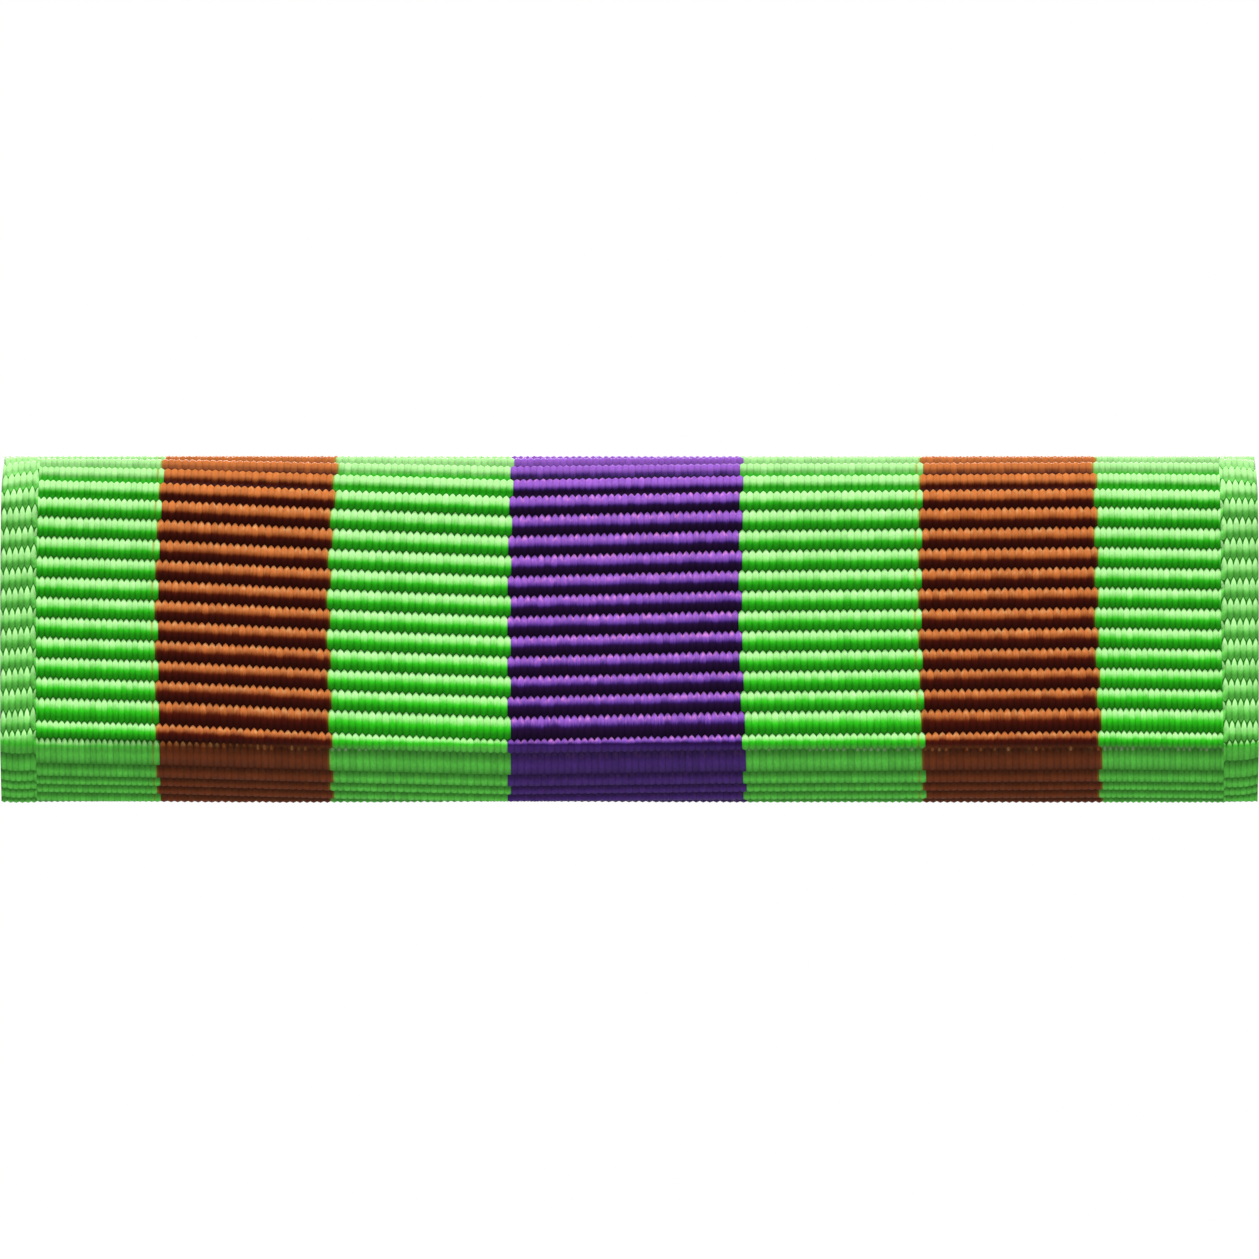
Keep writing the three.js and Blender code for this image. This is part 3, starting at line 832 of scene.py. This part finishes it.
def build_wing(side, half):
    low, high = box_mm(f"clutch_{side}_wing_{half}")
    axis = middle_of(f"clutch_{side}_cap")[0]
    outwards = (1 if side == "right" else -1) * (1 if half == "outer" else -1)
    sheet = clutch_sheet / 2
    foot, jaw = low[1] + sheet, high[1] - sheet
    beyond = max(high[0] - axis, axis - low[0]) + clutch_sheet
    ear_half_width = high[2]
    edge = beyond - clutch_sheet - sheet
    loop = (jaw - foot) / 2 * loop_fullness
    foot_start = flange_radius + wing_foot_gap
    path = rounded_path([
        (foot_start, foot, 0), (edge, foot, loop), (edge, jaw, loop), (-jaw_overrun, jaw, 0),
    ], math.radians(6))
    total = path_lengths(path)[-1]
    shoulder = flange_radius + shoulder_gap

    def half_width(x):
        rise = np.clip((x - shoulder) / shoulder_length, 0, 1)
        width = jaw_half_width + (ear_half_width - jaw_half_width) * rise * rise * (3 - 2 * rise)
        corner = 1 - np.sqrt(np.clip((beyond - x) / ear_radius, 0, 1))
        inward = np.clip(jaw_half_width - jaw_overrun - x, 0, jaw_half_width) / jaw_half_width
        return (width - ear_radius * corner ** 2) * np.sqrt(1 - inward ** 2)

    def place(distance, across):
        x, y = along_path(path, distance)
        return np.column_stack((axis + outwards * x, y, across * half_width(x)))

    def slot_reach(arm):
        """How far the slot's edge lies from its middle, in each direction."""
        forward, up = outwards * arm[:, 0], np.abs(arm[:, 2])
        to_end = eye_offset / 2 / np.maximum(np.abs(forward), 1e-6)
        best = np.minimum(to_end, pin_radius / np.maximum(up, 1e-6))
        for offset, radius in ((-eye_offset / 2, throat_radius), (eye_offset / 2, eye_radius)):
            near = offset * forward
            past = np.sqrt(np.maximum(near ** 2 - offset ** 2 + radius ** 2, 0))
            best = np.maximum(best, near + past)
        return best

    # Columns round the loop, up to the slot, across the slot's block and round the nose
    nose_centre = total - jaw_overrun
    loop_end = np.argmax(path[:, 1] > jaw - 1e-6) + 1
    arc = path_places(path[:loop_end], 0.5)
    flat = run_of(arc[-1], (nose_centre - 1.6, 6), (nose_centre + 0.95, 16))[1:]
    angles = np.linspace(math.acos(0.95 / jaw_overrun), 0, 8)[1:]
    nose = nose_centre + jaw_overrun * np.cos(angles)
    distances = np.concatenate((arc, flat, nose))
    slot_column = len(arc) + 6 - 1 + 8
    centre = np.array((axis + outwards * eye_offset / 2, jaw, 0.0))
    slot = (slot_column, 10, 8, 4, centre, slot_reach)
    name = f"clutch_wing_{side}_{half}"
    return bent_sheet(name, distances, run_of(-1, (1, 20)), place, clutch_sheet, 0.06, [slot])


# ---- Metal finishes ----


def group_tree(name, inputs, outputs):
    tree = bpy.data.node_groups.new(name, "ShaderNodeTree")
    for socket, kind, value in inputs:
        made = tree.interface.new_socket(socket, in_out="INPUT", socket_type=kind)
        made.default_value = value
    for socket, kind in outputs:
        tree.interface.new_socket(socket, in_out="OUTPUT", socket_type=kind)
    nodes = Nodes(tree)
    return nodes, tree.nodes.new("NodeGroupInput").outputs, tree.nodes.new("NodeGroupOutput").inputs


def grain_group():
    """Fine lines left by rolling or turning, run along the direction with the small stretch."""
    nodes, given, out = group_tree("brushed_grain", [
        ("Vector", "NodeSocketVector", (0, 0, 0)), ("Stretch", "NodeSocketVector", (1, 1, 1)),
    ], [("Lines", "NodeSocketFloat"), ("Height", "NodeSocketFloat")])
    stretched = {0: given["Vector"], 1: given["Stretch"]}
    place = nodes.add("ShaderNodeVectorMath", stretched, operation="MULTIPLY")
    fine = nodes.noise(place, 1.0, 4.0, 0.6)
    broad = nodes.noise(place, 0.23, 2.0)
    lines = nodes.math("MULTIPLY_ADD", broad, 0.4, nodes.math("MULTIPLY", fine, 0.6))
    nodes.tree.links.new(lines, out["Lines"])
    nodes.tree.links.new(fine, out["Height"])
    return nodes.tree


def handling_group():
    """Soft clouds where fingers and cloth have dulled the metal, and sparse fine scratches."""
    nodes, given, out = group_tree("handling_marks", [
        ("Vector", "NodeSocketVector", (0, 0, 0)), ("Scale", "NodeSocketFloat", 400.0),
        ("Amount", "NodeSocketFloat", 1.0),
    ], [("Dulling", "NodeSocketFloat"), ("Scratches", "NodeSocketFloat")])
    clouds = nodes.span(nodes.noise(given["Vector"], given["Scale"], 2.0, 0.5), 0.3, 0.75)
    nodes.tree.links.new(nodes.math("MULTIPLY", clouds, given["Amount"]), out["Dulling"])
    scratches = 0.0
    for turn, offset in ((0.5, 0.0), (-0.9, 3.0)):
        place = nodes.add("ShaderNodeMapping", {
            "Vector": given["Vector"], "Rotation": (0.3, turn, turn), "Scale": (1.0, 26.0, 26.0),
            "Location": (offset, 0.0, 0.0)})
        streak = nodes.span(nodes.noise(place, given["Scale"], 1.0), 0.71, 0.78)
        scratches = nodes.math("MAXIMUM", streak, scratches)
    nodes.tree.links.new(nodes.math("MULTIPLY", scratches, given["Amount"]), out["Scratches"])
    return nodes.tree


def wear_group():
    """Where an edge is rubbed bright: rounded normals differ from the face's own."""
    nodes, given, out = group_tree("edge_wear", [
        ("Vector", "NodeSocketVector", (0, 0, 0)), ("Reach", "NodeSocketFloat", 0.0001),
        ("Breakup", "NodeSocketFloat", 900.0),
    ], [("Edge", "NodeSocketFloat")])
    rounded = nodes.add("ShaderNodeBevel", {"Radius": given["Reach"]})
    own = nodes.add("ShaderNodeNewGeometry", output="Normal")
    same = nodes.add("ShaderNodeVectorMath", {0: rounded, 1: own}, output=1, operation="DOT_PRODUCT")
    edge = nodes.span(same, 0.995, 0.93)
    broken = nodes.span(nodes.noise(given["Vector"], given["Breakup"], 3.0), 0.3, 0.6, 0.35, 1.0)
    nodes.tree.links.new(nodes.math("MULTIPLY", edge, broken), out["Edge"])
    return nodes.tree


brushed_grain, handling_marks, edge_wear = grain_group(), handling_group(), wear_group()

# How much of a metal's tarnish follows its grain and how much its handling, and what one fine
# scratch does to the roughness and to the height of the surface
grain_share, handling_share = 0.35, 0.65
scratch_polish, scratch_depth = -0.08, -0.6
cloud_scale = 350.0
rubbed_edge = 0.1 * MM
grain_depth = 0.004 * MM


def metal(name, bright, dull, rough, stretch, marks=1.0):
    """A worked metal: bright where clean and rubbed, dull where handled, with grain along it."""
    material, nodes, shader = new_material(name)
    place = nodes.add("ShaderNodeTexCoord", output="Object")

    def effect(tree, output, **inputs):
        node = nodes.tree.nodes.new("ShaderNodeGroup")
        node.node_tree = tree
        nodes.tree.links.new(place, node.inputs["Vector"])
        for key, value in inputs.items():
            node.inputs[key].default_value = value
        return [node.outputs[each] for each in output]

    lines, ridges = effect(brushed_grain, ("Lines", "Height"), Stretch=stretch)
    dulling, scratches = effect(handling_marks, ("Dulling", "Scratches"), Amount=marks, Scale=cloud_scale)
    edge, = effect(edge_wear, ("Edge",), Reach=rubbed_edge)
    tarnish = nodes.math("MULTIPLY", dulling, handling_share)
    tarnish = nodes.math("MULTIPLY_ADD", lines, grain_share, tarnish)
    tarnish = nodes.math("MULTIPLY", tarnish, nodes.math("SUBTRACT", 1.0, edge))
    nodes.tree.links.new(nodes.mix(tarnish, bright, dull), shader.inputs["Base Color"])
    shader.inputs["Metallic"].default_value = 1.0
    low, high = rough
    roughness = nodes.math("MULTIPLY_ADD", tarnish, high - low, low)
    roughness = nodes.math("MULTIPLY_ADD", scratches, scratch_polish, roughness)
    nodes.tree.links.new(roughness, shader.inputs["Roughness"])
    height = nodes.math("MULTIPLY_ADD", scratches, scratch_depth, ridges)
    relief = {"Strength": 0.25, "Distance": grain_depth, "Height": height}
    bump = nodes.add("ShaderNodeBump", relief, output="Normal")
    nodes.tree.links.new(bump, shader.inputs["Normal"])
    return material


# Each metal: its clean colour, its dulled colour, its smoothest and roughest, and the grain's
# stretch along X, Y and Z
carrier_brass = metal(
    "carrier_brass", (0.80, 0.56, 0.22, 1), (0.50, 0.31, 0.10, 1), (0.22, 0.42), (300, 9000, 9000))
bar_nickel = metal(
    "bar_nickel", (0.74, 0.72, 0.68, 1), (0.52, 0.50, 0.46, 1), (0.14, 0.34), (250, 8000, 8000))
pin_steel = metal(
    "pin_steel", (0.70, 0.70, 0.71, 1), (0.45, 0.45, 0.46, 1), (0.16, 0.34), (500, 12000, 500))
clutch_brass = metal(
    "clutch_brass", (0.86, 0.62, 0.25, 1), (0.56, 0.35, 0.12, 1), (0.18, 0.38), (2500, 2500, 2500), 1.2)
spring_brass = metal(
    "spring_brass", (0.80, 0.54, 0.21, 1), (0.47, 0.28, 0.09, 1), (0.20, 0.42), (300, 9000, 7000))


def fit(piece, node, body, material):
    piece.data.materials.append(material)
    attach(piece, body)
    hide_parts(node)


fit(build_carrier(), "ribbon_carrier", "ribbon_unit", carrier_brass)
fit(build_bar(), "mount_bar", "bar", bar_nickel)
for side in ("left", "right"):
    clutch = f"clutch_{side}"
    fit(build_pin(side), "pin_" + side, "bar", pin_steel)
    fit(build_cap(side), clutch + "_cap", clutch, clutch_brass)
    fit(build_saddle(side), clutch + "_saddle", clutch, spring_brass)
    for half in ("outer", "inner"):
        wing, moving_half = f"{clutch}_wing_{half}", f"{clutch}_{half}_half"
        fit(build_wing(side, half), wing, moving_half, spring_brass)

# ---- Camera, light and floor ----

view_width = 0.035  # the camera sees this much at the ribbon's face, in metres
room_light = 0.22  # the world's strength as the metals see it
floor_radius = 0.11
floor_drop = 0.0136  # from the bar's underside to the floor
full_floor_share = 0.25  # the share of the floor's radius at which it starts to fade
floor_grey = (0.3, 0.3, 0.3, 1)  # as the object sees it
paper_white = (0.93, 0.93, 0.93, 1)

low, high = (np.array(corner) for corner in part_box("ribbon"))
camera_data = bpy.data.cameras.new("camera")
camera_data.lens = 1000
camera_data.sensor_width = 36
camera_data.clip_start = 0.01
distance = view_width * camera_data.lens / camera_data.sensor_width
camera = bpy.data.objects.new("camera", camera_data)
camera.location = (0, low[1] - distance, (low[2] + high[2]) / 2)
camera.rotation_euler = (math.pi / 2, 0, 0)
bpy.context.scene.collection.objects.link(camera)
bpy.context.scene.camera = camera


def softbox(name, place, size, power):
    """A rectangular soft light, in metres and watts, aimed at the middle of the bar."""
    data = bpy.data.lights.new(name, "AREA")
    data.shape = "RECTANGLE"
    data.size, data.size_y = size
    data.energy = power
    lamp = bpy.data.objects.new(name, data)
    lamp.location = place
    lamp.rotation_euler = (-Vector(place)).to_track_quat("-Z", "Y").to_euler()
    bpy.context.scene.collection.objects.link(lamp)


softbox("key_softbox", (0, -0.19, 0.33), (0.5, 0.26), 2.4)
softbox("rear_softbox", (0.05, 0.4, 0.16), (0.4, 0.2), 2.8)
world = bpy.data.worlds.new("studio")
world.use_nodes = True
sky = Nodes(world.node_tree)
background = world.node_tree.nodes["Background"]
seen = sky.add("ShaderNodeLightPath", output="Is Camera Ray")
strength = sky.math("MULTIPLY_ADD", seen, 1.0 - room_light, room_light)
world.node_tree.links.new(strength, background.inputs["Strength"])
background.inputs["Color"].default_value = (1, 1, 1, 1)
bpy.context.scene.world = world
bpy.context.scene.view_settings.view_transform = "Standard"


def floor_paper():
    """White paper that fades out towards its rim, and can't be seen from below."""
    material, nodes, shader = new_material("floor_paper")
    seen = nodes.add("ShaderNodeLightPath", output="Is Camera Ray")
    colour = nodes.mix(seen, floor_grey, paper_white)
    nodes.tree.links.new(colour, shader.inputs["Base Color"])
    shader.inputs["Emission Color"].default_value = (1, 1, 1, 1)
    shader.inputs["Emission Strength"].default_value = 0.2
    place = {0: nodes.add("ShaderNodeTexCoord", output="Object")}
    spread = nodes.add("ShaderNodeVectorMath", place, output=1, operation="LENGTH")
    fade = nodes.span(spread, full_floor_share * floor_radius, floor_radius, 1.0, 0.0)
    below = nodes.add("ShaderNodeNewGeometry", output="Backfacing")
    fade = nodes.math("MULTIPLY", fade, nodes.math("SUBTRACT", 1.0, below))
    nodes.tree.links.new(fade, shader.inputs["Alpha"])
    return material


floor_mesh = bpy.data.meshes.new("floor")
bm = bmesh.new()
bmesh.ops.create_circle(bm, cap_ends=True, segments=96, radius=floor_radius)
bmesh.ops.translate(bm, verts=bm.verts, vec=(0, 0, low[2] - floor_drop))
bm.to_mesh(floor_mesh)
bm.free()
floor_mesh.materials.append(floor_paper())
floor = bpy.data.objects.new("floor", floor_mesh)
bpy.context.scene.collection.objects.link(floor)
